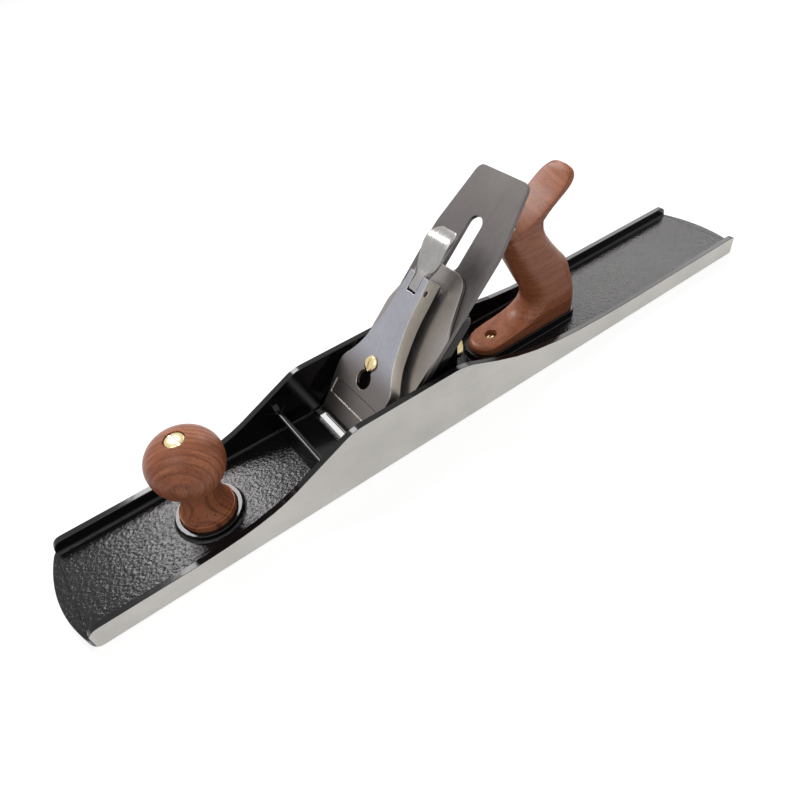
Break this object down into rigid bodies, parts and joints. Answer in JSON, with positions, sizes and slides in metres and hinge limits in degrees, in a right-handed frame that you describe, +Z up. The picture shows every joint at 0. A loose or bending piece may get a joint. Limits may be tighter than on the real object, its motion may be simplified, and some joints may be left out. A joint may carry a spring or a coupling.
{
  "type": "jointer plane",
  "caption": "Long iron bench plane with flat-topped cheeks, pinned frog, slotted iron with chipbreaker, cam lever cap, brass adjuster and wooden handles.",
  "frame": {"origin": "the middle of the sole's underside", "axes": "+X from toe to heel, +Y towards the right cheek, +Z up from the sole"},
  "size_m": [0.56, 0.074, 0.1372],
  "materials": {
    "casting": "black paint inside, ground bare iron on the sole and the cheeks' outsides",
    "frog_casting": "black paint, machined bed face",
    "dark_steel": "turned or pressed steel",
    "blade_steel": "satin ground steel",
    "satin_cap": "satin plated",
    "brass": "turned brass",
    "wood": "oiled reddish brown hardwood"
  },
  "bodies": {
    "body": {"plane_body": "casting", "front_knob": "wood", "knob_rod": "dark_steel", "knob_nut": "brass", "rear_tote": "wood", "tote_rod": "dark_steel", "tote_nut": "brass", "tote_toe_screw": "brass"},
    "frog_body": {"frog": "frog_casting", "frog_pin_left": "dark_steel", "frog_pin_right": "dark_steel", "frog_adjusting_tab": "dark_steel", "frog_tab_screw": "dark_steel", "yoke_pin": "dark_steel", "lateral_lever_rivet": "dark_steel"},
    "frog_screw": {"frog_adjusting_screw": "dark_steel"},
    "lock_left": {"frog_lock_screw_left": "dark_steel"},
    "lock_right": {"frog_lock_screw_right": "dark_steel"},
    "stud": {"depth_adjuster_stud": "dark_steel"},
    "wheel": {"depth_adjuster_wheel": "brass"},
    "yoke": {"yoke_lever": "dark_steel"},
    "iron_carrier": {"chipbreaker_screw": "dark_steel"},
    "cutter": {"iron": "blade_steel", "chipbreaker": "blade_steel"},
    "lateral": {"lateral_lever": "dark_steel", "lateral_roller_rivet": "dark_steel"},
    "roller": {"lateral_lever_roller": "dark_steel"},
    "cap": {"lever_cap": "satin_cap", "cam_pin": "dark_steel", "cap_spring": "dark_steel", "cap_spring_rivet": "dark_steel"},
    "cam": {"cam_lever": "satin_cap"},
    "cap_screw": {"lever_cap_screw": "brass"}
  },
  "joints": [
    {"name": "frog_slide", "type": "slide", "parent": "body", "child": "frog_body", "axis": [-0.9877, 0, -0.1564], "range_m": [0, 0.0015]},
    {"name": "frog_screw_turn", "type": "hinge", "parent": "frog_body", "child": "frog_screw", "pos_m": [-0.01583, 0, 0.01266], "axis": [-0.9877, 0, -0.1564], "range_deg": [0, 676]},
    {"name": "lock_left_turn", "type": "hinge", "parent": "body", "child": "lock_left", "pos_m": [-0.00815, -0.014, 0.01468], "axis": [0.9877, 0, 0.1564], "range_deg": [0, 180]},
    {"name": "lock_right_turn", "type": "hinge", "parent": "body", "child": "lock_right", "pos_m": [-0.00815, 0.014, 0.01468], "axis": [0.9877, 0, 0.1564], "range_deg": [0, 180]},
    {"name": "depth_travel", "type": "slide", "parent": "frog_body", "child": "stud", "axis": [1, 0, 0], "range_m": [-0.0016, 0.0016]},
    {"name": "depth_wheel_spin", "type": "hinge", "parent": "stud", "child": "wheel", "pos_m": [0, 0, 0.039], "axis": [-1, 0, 0], "range_deg": [-540, 540]},
    {"name": "yoke_tilt", "type": "hinge", "parent": "frog_body", "child": "yoke", "pos_m": [-0.01588, 0, 0.05233], "axis": [0, 1, 0], "range_deg": [-7, 7]},
    {"name": "iron_slide", "type": "slide", "parent": "frog_body", "child": "iron_carrier", "axis": [0.7071, 0, 0.7071], "range_m": [-0.00188, 0.00188]},
    {"name": "iron_skew", "type": "hinge", "parent": "iron_carrier", "child": "cutter", "pos_m": [-0.02719, 0, 0.06081], "axis": [-0.7071, 0, 0.7071], "range_deg": [-0.9, 0.9]},
    {"name": "lateral_lever_swing", "type": "hinge", "parent": "frog_body", "child": "lateral", "pos_m": [-0.00739, 0, 0.07495], "axis": [-0.7071, 0, 0.7071], "range_deg": [-2.65, 2.65]},
    {"name": "lateral_roller_spin", "type": "hinge", "parent": "lateral", "child": "roller", "pos_m": [-0.01305, 0, 0.07212], "axis": [-0.7071, 0, 0.7071], "continuous": true},
    {"name": "lever_cap_slide", "type": "slide", "parent": "frog_body", "child": "cap", "axis": [0.7071, 0, 0.7071], "range_m": [0, 0.0115]},
    {"name": "cam_lever_lift", "type": "hinge", "parent": "cap", "child": "cam", "pos_m": [-0.02196, 0, 0.08924], "axis": [0, -1, 0], "range_deg": [0, 90]},
    {"name": "lever_cap_screw_turn", "type": "hinge", "parent": "frog_body", "child": "cap_screw", "pos_m": [-0.04911, 0, 0.03889], "axis": [-0.7071, 0, 0.7071], "range_deg": [0, 360]}
  ],
  "couplings": [
    {"joint": "frog_screw_turn", "follows": "frog_slide", "rad_per_m": 7854},
    {"joint": "depth_wheel_spin", "follows": "iron_slide", "rad_per_m": -4999.2},
    {"joint": "depth_travel", "follows": "iron_slide", "ratio": -0.84339},
    {"joint": "yoke_tilt", "follows": "iron_slide", "rad_per_m": 63.29},
    {"joint": "iron_skew", "follows": "lateral_lever_swing", "ratio": -0.33333}
  ]
}
